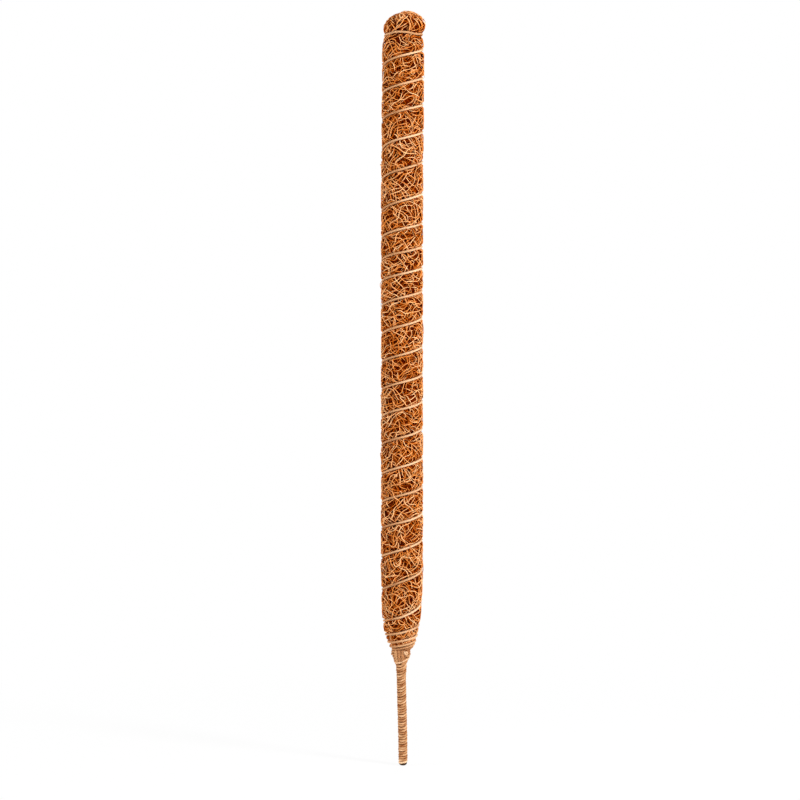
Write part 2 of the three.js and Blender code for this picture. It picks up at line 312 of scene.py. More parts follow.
def bowed(points):
    across = points[..., 0]
    height = points[..., 2]
    shift = UPPER_BOW * smoothstep(height, *UPPER_BOW_HEIGHTS)
    shift = shift + CROWN_BOW * smoothstep(height, *CROWN_BOW_HEIGHTS)
    shift = shift - NECK_BOW * np.exp(-((height - NECK_TOP) / NECK_BOW_REACH) ** 2)
    shift = shift + TIP_BOW * (1 - smoothstep(height, *TIP_BOW_HEIGHTS))
    slump = SLUMP * smoothstep(-across, *SLUMP_ACROSS) * smoothstep(height, *SLUMP_HEIGHTS)
    wider = BULGE * np.clip(across - BULGE_START, 0, None) * smoothstep(height, *BULGE_HEIGHTS)
    moved = points.copy()
    moved[..., 0] += shift + wider
    moved[..., 2] -= slump
    return moved


print("crown leans", round(float(bowed(np.array((0.0, 0.0, CROWN_TOP)))[0]), 1), "mm to the right")

# %% [markdown]
# ## Camera
# The portrait is taken level, about two and a half metres away and a little below the middle of the
# pole. The angle of view is worked out from the height that should fill the picture at the pole, which
# is easier to set than a focal length.

# %% Camera
CAMERA_DISTANCE = 2.4
CAMERA_HEIGHT = 0.436
CAMERA_LEFT = 0.0024
VIEW_HEIGHT = 0.955

lens = bpy.data.cameras.new("portrait_camera")
camera = bpy.data.objects.new("portrait_camera", lens)
bpy.context.scene.collection.objects.link(camera)
camera.location = (-CAMERA_LEFT, -CAMERA_DISTANCE, CAMERA_HEIGHT)
camera.rotation_euler = (math.pi / 2, 0, 0)
lens.angle = 2 * math.atan(VIEW_HEIGHT / 2 / CAMERA_DISTANCE)
bpy.context.scene.camera = camera
print("camera sees", VIEW_HEIGHT, "m at the pole")

# %% [markdown]
# ## Finishes
# Thousands of strands share one finish. A material for each tone would be simple but slow. Instead each
# strand carries a map with two numbers, its tone across the map and the way along it up the map, and the
# finish turns the tone into a colour. Strands of one tone then share one strip of the map, which keeps
# it small and sharp.

# %% Helpers for nodes
TONE_MAP = "OFBake"


def paint(red, green, blue):
    def linear(value):
        value = value / 255
        return value / 12.92 if value <= 0.04045 else ((value + 0.055) / 1.055) ** 2.4

    return (linear(red), linear(green), linear(blue), 1)


class Nodes:
    """A node tree with a short way to add and join its nodes."""

    def __init__(self, tree):
        self.tree = tree

    def add(self, kind, inputs=(), **settings):
        node = self.tree.nodes.new("ShaderNode" + kind)
        for name, value in settings.items():
            setattr(node, name, value)
        for socket, value in dict(inputs).items():
            self.put(value, node.inputs[socket])
        return node

    def put(self, value, socket):
        if isinstance(value, bpy.types.NodeSocket):
            self.tree.links.new(value, socket)
        else:
            socket.default_value = value


print("strand tones are read from the map", TONE_MAP)


# %% Helpers for finishes
class Finish(Nodes):
    """The nodes of a material, around its main shader."""

    def __init__(self, name):
        self.material = bpy.data.materials.new(name)
        self.material.use_nodes = True
        super().__init__(self.material.node_tree)
        self.shader = next(node for node in self.tree.nodes if node.type == "BSDF_PRINCIPLED")
        print("finish:", name)

    def dress(self, colour, roughness, specular):
        self.put(colour, self.shader.inputs["Base Color"])
        self.put(roughness, self.shader.inputs["Roughness"])
        self.put(specular, self.shader.inputs["Specular IOR Level"])

    def ramp(self, factor, stops):
        node = self.add("ValToRGB", {"Fac": factor})
        while len(node.color_ramp.elements) < len(stops):
            node.color_ramp.elements.new(0.5)
        for element, (position, colour) in zip(node.color_ramp.elements, stops):
            element.position = position
            element.color = colour
        return node.outputs["Color"]

    def shaded(self, colour, by):
        mix = self.add("Mix", data_type="RGBA", blend_type="MULTIPLY")
        self.put(1.0, mix.inputs[0])
        self.put(colour, mix.inputs[6])
        self.put(by, mix.inputs[7])
        return mix.outputs[2]

    def here(self):
        return self.add("TexCoord").outputs["Object"]

    def strand_map(self, across, along):
        """The tone of a strand, and its map stretched for a noise."""
        spot = self.add("UVMap", uv_map=TONE_MAP).outputs["UV"]
        tone = self.add("SeparateXYZ", {"Vector": spot}).outputs["X"]
        stretch = self.add("Mapping", {"Vector": spot, "Scale": (across, along, 1)})
        return tone, stretch.outputs["Vector"]

    def noise(self, vector, scale, detail=3.0, rough=0.6):
        inputs = {"Vector": vector, "Scale": scale, "Detail": detail, "Roughness": rough}
        return self.add("TexNoise", inputs).outputs["Fac"]

    def grey(self, factor, low, high):
        node = self.add("MapRange", {"Value": factor, "To Min": low, "To Max": high})
        return node.outputs["Result"]

    def bump(self, height, strength, distance):
        node = self.add("Bump", {"Height": height, "Strength": strength, "Distance": distance})
        self.put(node.outputs["Normal"], self.shader.inputs["Normal"])


# %% [markdown]
# ### Coir strands
# Dry coir runs from a deep red brown to straw, and each fibre is streaked along its length. A ramp gives
# the colour of each tone, and a noise that is stretched along the strand gives the streaks, the grain and
# the changes of roughness. Coir has no shine to speak of, so the shader gets none: even a faint one
# would draw a grey rim around every strand.

# %% Coir strand finish
def strand_finish():
    finish = Finish("coir_strand")
    tone, stretched = finish.strand_map(across=260, along=26)
    colour = finish.ramp(tone, [
        (0.00, paint(62, 10, 0)),
        (0.22, paint(122, 34, 0)),
        (0.45, paint(185, 83, 4)),
        (0.70, paint(228, 142, 66)),
        (1.00, paint(254, 202, 146)),
    ])
    streak = finish.noise(stretched, scale=1.0)
    streaked = finish.shaded(colour, finish.grey(streak, low=0.72, high=1.22))
    finish.dress(streaked, finish.grey(streak, low=0.5, high=0.8), specular=0.0)
    finish.bump(streak, strength=0.5, distance=0.0002)
    return finish.material


STRAND = strand_finish()

# %% [markdown]
# ### Felted bed
# Deep between the strands the coir lies in shade, so the bed is coloured dark as painted shade. The bed
# has no strands to carry a tone, so its colour comes from a fine noise in space, which needs no map and
# shows no seam.

# %% Coir bed finish
def shaded_bed_finish():
    finish = Finish("coir_bed_in_shade")
    lumps = finish.noise(finish.here(), scale=260.0, detail=5.0, rough=0.65)
    colour = finish.ramp(lumps, [
        (0.30, paint(56, 9, 0)),
        (0.50, paint(86, 19, 0)),
        (0.72, paint(122, 40, 0)),
    ])
    finish.dress(colour, finish.grey(lumps, low=0.75, high=0.95), specular=0.0)
    finish.bump(lumps, strength=0.8, distance=0.001)
    return finish.material


BED_PAINTED_SHADE = shaded_bed_finish()

# %% [markdown]
# ### Twine
# The twine is spun from a paler, smoother plant fibre. It uses the same kind of map as the strands, with
# a finer noise along it for the fibres of the yarn.

# %% Twine finish
def twine_finish():
    finish = Finish("twine")
    tone, stretched = finish.strand_map(across=120, along=40)
    colour = finish.ramp(tone, [
        (0.00, paint(130, 62, 14)),
        (0.50, paint(200, 149, 104)),
        (1.00, paint(248, 211, 171)),
    ])
    fibre = finish.noise(stretched, scale=1.0, detail=4.0, rough=0.7)
    streaked = finish.shaded(colour, finish.grey(fibre, low=0.78, high=1.18))
    finish.dress(streaked, finish.grey(fibre, low=0.5, high=0.8), specular=0.01)
    finish.bump(fibre, strength=0.6, distance=0.0003)
    return finish.material


TWINE = twine_finish()

# %% [markdown]
# ## Making a mesh
# Every piece of the pole is made from arrays of points and faces, given a finish, and told to ride on
# the one body that the pole has.

# %% A new piece of the pole
def new_piece(name, corners, faces, finish):
    mesh = bpy.data.meshes.new(name)
    mesh.from_pydata(corners.reshape(-1, 3) * MM, [], faces)
    mesh.polygons.foreach_set("use_smooth", np.ones(len(mesh.polygons), bool))
    mesh.materials.append(finish)
    piece = bpy.data.objects.new(name, mesh)
    bpy.context.scene.collection.objects.link(piece)
    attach(piece, "root")
    print(name, "has", len(mesh.polygons), "faces")
    return piece


def turned_faces(ring):
    """Faces of a closed turned skin, whose rows of corners are listed from the lowest up."""
    turned = np.roll(ring, -1, axis=1)
    quads = np.stack((ring[:-1], turned[:-1], turned[1:], ring[1:]), -1).reshape(-1, 4)
    return quads.tolist() + [ring[0][::-1].tolist(), ring[-1].tolist()]


# %% [markdown]
# ## Sweeping a strand
# A strand is a ring of points carried along a path. Curves with a bevel, or hair, could do that, but a
# mesh is exported as it is, and its section can change on the way. All strands of a group have the same
# number of steps, so one array holds every path and the rings are made in one go, which keeps thousands
# quick.

# %% Rings and faces of tubes
def unit(vectors):
    return vectors / np.linalg.norm(vectors, axis=-1, keepdims=True)


def tube_corners(points, outward, radii):
    """Rings around paths. Points are (paths, steps, 3), radii (paths, steps, sides)."""
    sides = radii.shape[2]
    ahead = unit(np.gradient(points, axis=1))
    beside = unit(np.cross(ahead, outward))
    up = np.cross(beside, ahead)
    roll = 2 * np.pi * np.arange(sides) / sides
    rings = beside[:, :, None] * np.cos(roll)[:, None] + up[:, :, None] * np.sin(roll)[:, None]
    return bowed(points[:, :, None] + rings * radii[..., None])


def tube_faces(paths, steps, sides):
    ring = np.arange(paths * steps * sides).reshape(paths, steps, sides)
    turned = np.roll(ring, -1, axis=2)
    quads = np.stack((ring[:, :-1], ring[:, 1:], turned[:, 1:], turned[:, :-1]), -1).reshape(-1, 4)
    ends = np.concatenate((ring[:, 0], ring[:, -1, ::-1]))
    return quads.tolist() + ends.tolist()


# %% [markdown]
# The map of a tube holds its tone and the way along it. A painted crest makes the side that faces out
# paler and the flanks darker: a painted highlight on top and painted shade on the flanks. A painted
# furrow shade darkens the lines where one turn of twine touches the next. The corners of the end faces
# are nudged, so that no face of the map is a bare line.

# %% Map and sweep of tubes
TONE_WIDTH = 0.02
TONE_LOWEST = 0.01
TONE_HIGHEST = 0.99
PAINTED_CREST_MIDDLE = 0.63
CAP_NUDGE = 0.004


def tube_map(tone, along, sides, painted_furrow_shade, painted_crest):
    around = 2 * np.pi * np.arange(sides + 1) / sides
    edge = (around / (2 * np.pi) - 0.5) * TONE_WIDTH
    # Painted light and shade in the tone: the crest pales the outer side and darkens the flanks, the
    # furrow darkens where turns touch.
    edge = edge - painted_furrow_shade * np.cos(around) ** 2 + painted_crest * (np.sin(around) - PAINTED_CREST_MIDDLE)
    across = np.clip(tone[:, :, None] + edge, TONE_LOWEST, TONE_HIGHEST)
    flat = np.stack((across, np.broadcast_to(along[:, :, None], across.shape)), -1)
    quads = np.stack((flat[:, :-1, :-1], flat[:, 1:, :-1], flat[:, 1:, 1:], flat[:, :-1, 1:]), -2)
    caps = np.concatenate((flat[:, 0, :-1], flat[:, -1, -2::-1]))
    caps[:, ::2, 1] += np.where(caps[:, ::2, 1] > 0.5, -CAP_NUDGE, CAP_NUDGE)
    return np.concatenate((quads.ravel(), caps.ravel())).astype(np.float32)


def sweep(name, points, outward, radii, tone, along, finish, painted_furrow_shade=0.0, painted_crest=0.0):
    """Closed tubes around paths, as one piece."""
    paths, steps, sides = radii.shape
    corners = tube_corners(points, outward, radii)
    piece = new_piece(name, corners, tube_faces(paths, steps, sides), finish)
    tone_map = piece.data.uv_layers.new(name=TONE_MAP)
    tone_map.data.foreach_set("uv", tube_map(tone, along, sides, painted_furrow_shade, painted_crest))
    return piece


# %% [markdown]
# ## The bed under the strands
# Between the strands of a real pole one looks into shaded, felted fibre. More strands could fill the
# gaps, but far too many. A dark bed a few millimetres below the surface stands for them, its dark colour
# painted shade. It is a closed skin with lumps, so the gaps have a real floor.

# %% Lumps of the coir
rng = np.random.default_rng(402)


def random_waves(count, around, upward):
    """Waves with a whole number of crests around the pole, a rate up it and a phase."""
    ring = 2 * np.pi
    return [(rng.integers(*around), rng.uniform(*upward), rng.uniform(0, ring)) for _ in range(count)]


BROAD = random_waves(14, around=(1, 7), upward=(0.02, 0.16))
SMALL = random_waves(24, around=(-22, 22), upward=(-0.9, 0.9))


def lumpy(turn, height, waves=BROAD):
    total = np.zeros_like(height)
    for around, upward, phase in waves:
        total = total + np.sin(2 * np.pi * around * turn + upward * height + phase)
    return total / math.sqrt(len(waves))


print("lumps are the sum of", len(BROAD), "broad and", len(SMALL), "small waves")

# %% A closed bed between two heights on the outline
LEAST_LOOSE = 0.08
BED_DEPTH = 2.8
BED_DIP = 0.8
BED_COLUMNS = 110
BROAD_LUMPS = 0.4
SMALL_LUMPS = 0.45
LUMPY_RADIUS = 10


def looseness(radius, height):
    """Thickness of the loose coir, less towards the tail."""
    share = np.clip((radius - TAIL_RADIUS) / (BODY_RADIUS - TAIL_RADIUS), LEAST_LOOSE, 1)
    return np.where(height > TIE_HEIGHT, 1, share)


def bed(name, top_down, bottom_down, rows):
    down = np.linspace(top_down, bottom_down, rows)[:, None]
    turn = np.arange(BED_COLUMNS)[None] / BED_COLUMNS
    down, turn = np.broadcast_arrays(down, turn)
    radius, height, _, _ = on_outline(down)
    rough = BROAD_LUMPS * lumpy(turn, height) + SMALL_LUMPS * lumpy(turn, height, SMALL)
    rough = rough * np.clip(radius / LUMPY_RADIUS, 0, 1)
    lift = -looseness(radius, height) * (BED_DEPTH + rough) - BED_DIP * dip(turn, height)
    points, _ = place(down, turn, lift)
    ring = np.arange(rows * BED_COLUMNS).reshape(rows, BED_COLUMNS)
    piece = new_piece(name, bowed(points), turned_faces(ring[::-1]), BED_PAINTED_SHADE)
    return piece


CROWN_BED_START = 1.5
tie_down = down_at(TIE_HEIGHT)
body_bed = bed("coir_bed_in_shade", tie_down, down_at(STAKE_LENGTH + 1), rows=640)
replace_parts(body_bed, "coir_layer")
crown_bed = bed("crown_bed", CROWN_BED_START, tie_down, rows=60)
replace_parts(crown_bed, "coir_crown")

# %% [markdown]
# ## Curled strands
# Coir curls because the fibres are twisted into rope, steamed and picked apart again. Hair with a curl
# setting would look combed, so here a strand is a walk over the outline. The strands slant either up or
# down to the right, and a flow that all of them share bends them, so neighbours curl side by side. In
# some patches the strands of one slant lie on top, in others those of the other. Each strand weaves up
# and down, and its ends are tucked into the bed.

# %% Headings of the strands
STRAND_STEP = 1.5
WANDER_WAVES = 3
WANDER_SIZE = 1.7
RISING = 0.6
FALLING = -0.8
RISING_SHARE = 0.55
OWN_SLANT = 0.18
OWN_WAVE = (0.3, 1.3)


def wander(count, steps, shortest, longest):
    along = np.arange(steps) * STRAND_STEP
    total = np.zeros((count, steps))
    for _ in range(WANDER_WAVES):
        wave = rng.uniform(shortest, longest, (count, 1))
        phase = rng.uniform(0, 2 * np.pi, (count, 1))
        total += np.sin(2 * np.pi * along / wave + phase)
    return total / WANDER_SIZE


def headings(rises, steps, wave, curl):
    count = len(rises)
    slant = np.where(rises, RISING, FALLING)[:, None] + rng.normal(0, OWN_SLANT, (count, 1))
    lean = curl * rng.normal(0, 1, (count, 1)) * np.arange(steps) * STRAND_STEP
    own_wave = wave * rng.uniform(*OWN_WAVE, (count, 1))
    return slant + lean + own_wave * wander(count, steps, shortest=9, longest=30)


print(round(100 * RISING_SHARE), "of 100 strands rise to the right")

# %% Walks over the outline
SWING = 0.55
FLOW = random_waves(14, around=(-8, 9), upward=(-0.4, 0.4))


def walk_body(start_down, start_turn, heading, highest, lowest, swing=0.0):
    down = np.empty_like(heading)
    turn = np.empty_like(heading)
    here_down = start_down.copy()
    here_turn = start_turn.copy()
    for step in range(heading.shape[1]):
        down[:, step] = here_down
        turn[:, step] = here_turn
        radius = np.clip(on_outline(here_down)[0], TAIL_RADIUS, None)
        way = heading[:, step] + swing * lumpy(here_turn, here_down, FLOW)
        here_down = np.clip(here_down - STRAND_STEP * np.sin(way), highest, lowest)
        here_turn = here_turn + STRAND_STEP * np.cos(way) / (2 * np.pi * radius)
    return down, turn


print("strands walk in steps of", STRAND_STEP, "mm")

# %% [markdown]
# A handful of coir fills its space evenly, because the springy curls push each other apart. A simulation
# could do that too, but slowly. So several walks are offered for each strand, and the one least crowded
# by strands of its own slant is kept.

# %% Even filling
CELL = 1.6
CELL_COLUMNS = round(2 * np.pi * BODY_RADIUS / CELL)
OTHER_WAY = 0.3
REACH = 2
CROWD_SPREAD = 2.5


def least_crowded(rows, columns, width, families):
    rows = rows + REACH
    crowd = np.zeros((2, rows.max() + REACH + 1, width))
    kept = np.empty(len(rows), int)
    for strand, family in enumerate(families.astype(int)):
        cells = (rows[strand], columns[strand])
        crossed = crowd[family][cells] + OTHER_WAY * crowd[1 - family][cells]
        kept[strand] = np.argmin(crossed.sum(axis=1))
        row = rows[strand, kept[strand]]
        column = columns[strand, kept[strand]]
        for above in range(-REACH, REACH + 1):
            for aside in range(-REACH, REACH + 1):
                near = math.exp(-(above ** 2 + aside ** 2) / CROWD_SPREAD)
                np.add.at(crowd[family], (row + above, (column + aside) % width), near)
    return kept


print("crowding is counted in", CELL_COLUMNS, "cells around the pole")

# %% [markdown]
# A walk turns into a strand when it gets a height over the bed and a thickness. Strands sink at both
# ends, swell with the lumps of the coir and duck under the twine. Real fibres are a little flat and vary
# in thickness, so the section is an oval that slowly turns.

# %% Height and thickness of a strand
TUCK_REACH = 3.5
PRESSED = 0.3
UNDER_TWINE = 0.7
END_WIDTH = 0.25
END_LENGTH = 7
THICK_AND_THIN = 0.1
SPIN = 2
FLATNESS = 0.8


def strand_lift(down, turn, depth, half_width, reach, tuck, lumps, over):
    radius, height, _, _ = on_outline(down)
    loose = looseness(radius, height)
    sunk = loose * (depth + tuck * np.exp(-(reach / TUCK_REACH) ** 2))
    if over:
        return -sunk
    pressed = dip(turn, height)
    swell = lumps * loose * np.clip(radius / LUMPY_RADIUS, 0, 1) * lumpy(turn, height)
    lift = swell - np.maximum(sunk, pressed + half_width * UNDER_TWINE * (pressed > PRESSED))
    return np.minimum(lift, -pressed)


def strand_radii(count, steps, sides, half_width, reach):
    taper = np.clip(END_WIDTH + reach / END_LENGTH, END_WIDTH, 1)
    taper = taper * (1 + THICK_AND_THIN * wander(count, steps, shortest=8, longest=30))
    spin = SPIN * wander(count, steps, shortest=40, longest=120)[:, :, None]
    roll = 2 * np.pi * np.arange(sides) / sides + spin
    oval = 1 / np.hypot(np.cos(roll), np.sin(roll) / FLATNESS)
    return half_width[..., None] * taper[..., None] * oval


print("strands taper over their last", END_LENGTH, "mm")

# %% From walks to strands
# Painted highlight on the outer side of each strand and painted shade on its flanks, in tone.
PAINTED_CREST = 0.22
STRAND_TONES = (0.02, 0.98)
MAP_EDGE = 0.01


def strand_group(name, down, turn, depth, half_width, tone, sides, tuck=1.6, lumps=0.2, over=False):
    count, steps = down.shape
    along = np.linspace(0, 1, steps)[None]
    reach = np.minimum(along, 1 - along) * steps * STRAND_STEP
    lift = strand_lift(down, turn, depth, half_width, reach, tuck, lumps, over)
    points, outward = place(down, turn, lift)
    radii = strand_radii(count, steps, sides, half_width, reach)
    tones = np.broadcast_to(np.clip(tone, *STRAND_TONES), (count, steps))
    map_along = np.broadcast_to(MAP_EDGE + (1 - 2 * MAP_EDGE) * along, (count, steps))
    piece = sweep(name, points, outward, radii, tones, map_along, STRAND, painted_crest=PAINTED_CREST)
    return piece


print("the outer side of a strand is up to", PAINTED_CREST, "paler in tone than its flanks")

# %% [markdown]
# The body is filled from the deepest strands to the finest. Deep strands are dark and thick, those on
# top are pale, with that difference in tone painted shade for depth, short ones curl the most, and a few
# lie over the twine. The coir darkens a little towards the crown. Each kind is split into pieces of a
# handy size.

# %% Filling the body with strands
PATCHES = random_waves(8, around=(1, 7), upward=(-0.2, 0.2))
PATCH_LIFT = 0.35
PATCH_PAINTED_LIGHT_AND_SHADE = 0.03
LARGEST_GROUP = 90000
OFFERS = 24
HIGHEST_DOWN = 34.0
LOWEST_DOWN = outline_down[-1] - 4
START_HEIGHTS = (NECK_TOP + 2, TIE_HEIGHT - 4)
TOP_SHADE = 0.07
TOP_SHADE_HEIGHT = CROWN_TOP - 110
WEAVE_PAINTED_SHADE = 0.08


def body_walks(count, steps, wave, curl):
    rises = rng.random(count) < RISING_SHARE
    offered = count * OFFERS
    start_down = down_at(rng.uniform(*START_HEIGHTS, offered))
    start_turn = rng.uniform(0, 1, offered)
    heading = headings(np.repeat(rises, OFFERS), steps, wave, curl)
    down, turn = walk_body(start_down, start_turn, heading, HIGHEST_DOWN, LOWEST_DOWN, SWING)
    down, turn = (walks.reshape(count, OFFERS, steps) for walks in (down, turn))
    columns = (np.mod(turn, 1) * CELL_COLUMNS).astype(int) % CELL_COLUMNS
    kept = least_crowded((down / CELL).astype(int), columns, CELL_COLUMNS, rises)
    down, turn = (walks[np.arange(count), kept] for walks in (down, turn))
    order = np.argsort(down[:, 0])
    return down[order], turn[order], rises[order]


def body_strands(name, count, steps, wave, curl, depths, widths, tones, sides, weaving, **options):
    down, turn, rises = body_walks(count, steps, wave, curl)
    weave = wander(count, steps, shortest=14, longest=40)
    on_top = np.where(rises, 1, -1)[:, None] * lumpy(turn, down, PATCHES)
    depth = rng.uniform(*depths, (count, 1)) + weaving * weave - PATCH_LIFT * on_top
    half = rng.uniform(*widths, (count, 1))
    darker = TOP_SHADE * smoothstep(down, down_at(TOP_SHADE_HEIGHT), HIGHEST_DOWN)
    # Painted shade in the tone: darker where a strand weaves deeper, paler where its slant lies on top.
    tone = rng.uniform(*tones, (count, 1)) - WEAVE_PAINTED_SHADE * weave - darker + PATCH_PAINTED_LIGHT_AND_SHADE * on_top
    groups = math.ceil(count * steps * sides / LARGEST_GROUP)
    for number, rows in enumerate(np.array_split(np.arange(count), groups), 1):
        shape = (down[rows], turn[rows], depth[rows], half[rows], tone[rows], sides)
        strand_group(f"{name}_{number}", *shape, **options)


# %% Strands of the body, from the deepest to the finest
# The darker tones of the deeper groups are painted shade for depth.
body_strands("coir_deep", 800, steps=28, wave=0.4, curl=0.02, depths=(1.9, 2.9), widths=(0.5, 0.7),
             tones=(0.06, 0.26), sides=4, weaving=0.6)
body_strands("coir_middle", 1250, steps=25, wave=0.3, curl=0.01, depths=(0.9, 1.6), widths=(0.42, 0.6),
             tones=(0.26, 0.50), sides=5, weaving=0.5)
body_strands("coir_top", 1500, steps=25, wave=0.3, curl=0.01, depths=(-0.1, 0.4), widths=(0.42, 0.58),
             tones=(0.56, 0.9), sides=6, weaving=0.4)
body_strands("coir_curl", 300, steps=15, wave=0.4, curl=0.2, depths=(-0.2, 0.5), widths=(0.4, 0.52),
             tones=(0.62, 0.98), sides=6, weaving=0.4)
body_strands("coir_over", 50, steps=16, wave=0.3, curl=0.02, depths=(-0.7, -0.3), widths=(0.34, 0.46),
             tones=(0.5, 0.9), sides=5, weaving=0.4, over=True, tuck=2.6)
body_strands("coir_fine", 420, steps=26, wave=0.5, curl=0.03, depths=(-0.2, 0.8), widths=(0.22, 0.32),
             tones=(0.5, 0.95), sides=3, weaving=0.5)

# %% [markdown]
# When the twine is pulled tight, it draws some fibres straight along beside it. They follow the route of
# the twine, at a share of the way to the next turn.

# %% Straight fibres drawn along beside the twine
THREADS = 12
THREAD_STEPS = 26
THREAD_SWAY = 0.6
start = rng.uniform(SPREAD_TURNS, LASHING_END - 2, (THREADS, 1))
turns = rng.uniform(0.22, 0.4, (THREADS, 1))
turn = start + np.linspace(0, 1, THREAD_STEPS) * turns
share = rng.uniform(0.2, 0.8, (THREADS, 1))
sway = THREAD_SWAY * wander(THREADS, THREAD_STEPS, shortest=30, longest=60)
height = twine_height(turn) + share * (twine_height(turn + 1) - twine_height(turn)) + sway
half = rng.uniform(0.36, 0.46, (THREADS, 1))
tone = rng.uniform(0.6, 0.9, (THREADS, 1))
strand_group("coir_threads", down_at(height), turn, np.zeros((THREADS, 1)), half, tone, 6)

# %% [markdown]
# A few thin ends stand off the surface and break its edge against the light. They start in the coir and
# rise along their length.

# %% Stray ends that stand off the surface
STRAYS = 110
STRAY_STEPS = 9
STRAY_BEND = 0.09
STRAY_TOP = 2.0
STRAY_DEPTH = 0.4
start_down = rng.uniform(STRAY_TOP, down_at(NECK_TOP + 10), STRAYS)
heading = rng.uniform(0, 2 * np.pi, (STRAYS, 1))
heading = heading + STRAY_BEND * np.arange(STRAY_STEPS) * rng.normal(0, 1, (STRAYS, 1))
down, turn = walk_body(start_down, rng.uniform(0, 1, STRAYS), heading, STRAY_TOP, outline_down[-1])
rise = rng.uniform(0.5, 1.6, (STRAYS, 1)) * np.linspace(0, 1, STRAY_STEPS) ** 2
half = rng.uniform(0.16, 0.26, (STRAYS, 1))
tone = rng.uniform(0.3, 0.7, (STRAYS, 1))
strand_group("stray_ends", down, turn, STRAY_DEPTH - rise, half, tone, 4, tuck=0.0, over=True)

# %% [markdown]
# ## Strands of the crown
# At the top the ends of the coir are folded over the end of the pole and tied down. The strands lie
# there in every direction, most of them falling to the right, over dark gaps. On the outline they would
# crowd together at its middle, so they are walked over a ball and then laid on the dome.

# %% Walks over the dome
DOME_TOP = 0.5
UNDER_TIE = 6
FRONT_TURN = 0.25


def walk_dome(upward, around, heading, bend):
    """Walks from a height on a unit ball and an angle around it, heading down and turned."""
    level = np.sqrt(1 - upward ** 2)
    here = np.stack((level * np.cos(around), level * np.sin(around), upward), -1)
    east = np.stack((-np.sin(around), np.cos(around), np.zeros_like(around)), -1)
    ahead = np.cross(here, east) * -np.cos(heading)[:, None] + east * np.sin(heading)[:, None]
    step = STRAND_STEP / CROWN_RADIUS
    down = np.empty_like(bend)
    turn = np.empty_like(bend)
    for number in range(bend.shape[1]):
        latitude = np.arcsin(np.clip(here[:, 2], -1, 1))
        over_dome = np.interp(latitude, dome_angle[::-1], outline_down[:len(dome)][::-1])
        down[:, number] = over_dome + CROWN_RADIUS * np.clip(-latitude, 0, None)
        turn[:, number] = np.arctan2(here[:, 1], here[:, 0]) / (2 * np.pi) + FRONT_TURN
        here, ahead = (here * math.cos(step) + ahead * math.sin(step),
                       ahead * math.cos(step) - here * math.sin(step))
        sway = bend[:, number, None]
        ahead = ahead * np.cos(sway) + np.cross(here, ahead) * np.sin(sway)
    return np.clip(down, DOME_TOP, tie_down + UNDER_TIE), turn


print("the dome is", round(outline_down[len(dome) - 1]), "mm from its top to its widest place")

# %% [markdown]
# The crown is palest on top, where the light reaches it, and dark at its foot, above all in the hollow
# at the lower right, as painted light and painted shade. The tone of a strand follows its height, so one
# strand can run from pale to dark.

# %% Crown strands
FALL_RIGHT = 0.8
OVER_TOP = 0.25
RIGHTWARD = 1.1
LEFTWARD = -0.7
OWN_HEADING = 0.4
STEADY_BEND = 0.7
CROWN_MARGIN = 8
CROWN_WEAVING = 0.6
CROWN_PAINTED_LIGHT = 0.56
GRADE_HEIGHTS = (TIE_HEIGHT + 4, CROWN_TOP - 5)
HOLLOW_TURN = 0.16
HOLLOW_WIDTH = 0.08
HOLLOW_PAINTED_SHADE = 0.3
HOLLOW_HEIGHTS = (TIE_HEIGHT + 6, TIE_HEIGHT + 15)


def hollow_painted_shade(turn, height):
    beside = np.mod(turn - HOLLOW_TURN + 0.5, 1) - 0.5
    below = 1 - smoothstep(height, *HOLLOW_HEIGHTS)
    return HOLLOW_PAINTED_SHADE * below * np.exp(-(beside / HOLLOW_WIDTH) ** 2)


def crown_walks(count, steps, curl, lowest):
    offered = count * OFFERS
    to_right = rng.random(count) < FALL_RIGHT
    falling = np.where(to_right, RIGHTWARD, LEFTWARD)
    heading = np.where(rng.random(count) < OVER_TOP, np.pi, falling)
    heading = np.repeat(heading, OFFERS) + rng.normal(0, OWN_HEADING, offered)
    steady = STEADY_BEND * rng.normal(0, 1, (offered, 1))
    bend = STRAND_STEP * curl * (steady + wander(offered, steps, shortest=18, longest=50))
    around = rng.uniform(0, 2 * np.pi, offered)
    down, turn = walk_dome(rng.uniform(lowest, 1, offered), around, heading, bend)
    down, turn = (walks.reshape(count, OFFERS, steps) for walks in (down, turn))
    side = round(2 * (tie_down + CROWN_MARGIN) / CELL)
    rows = (side / 2 + down * np.cos(2 * np.pi * turn) / CELL).astype(int)
    columns = (side / 2 + down * np.sin(2 * np.pi * turn) / CELL).astype(int)
    kept = least_crowded(rows, columns, side, to_right)
    return [walks[np.arange(count), kept] for walks in (down, turn)]


def crown_strands(name, count, steps, curl, depths, widths, tones, sides, lowest=0.1):
    down, turn = crown_walks(count, steps, curl, lowest)
    weave = wander(count, steps, shortest=18, longest=40)
    depth = rng.uniform(*depths, (count, 1)) + CROWN_WEAVING * weave
    half = rng.uniform(*widths, (count, 1))
    height = on_outline(down)[1]
    # Painted light and shade: strands pale towards the top and dark at the foot and in the hollow.
    paler = CROWN_PAINTED_LIGHT * (smoothstep(height, *GRADE_HEIGHTS) - 0.5) - hollow_painted_shade(turn, height)
    tone = rng.uniform(*tones, (count, 1)) - WEAVE_PAINTED_SHADE * weave + paler
    return strand_group(name, down, turn, depth, half, tone, sides, lumps=1.0)


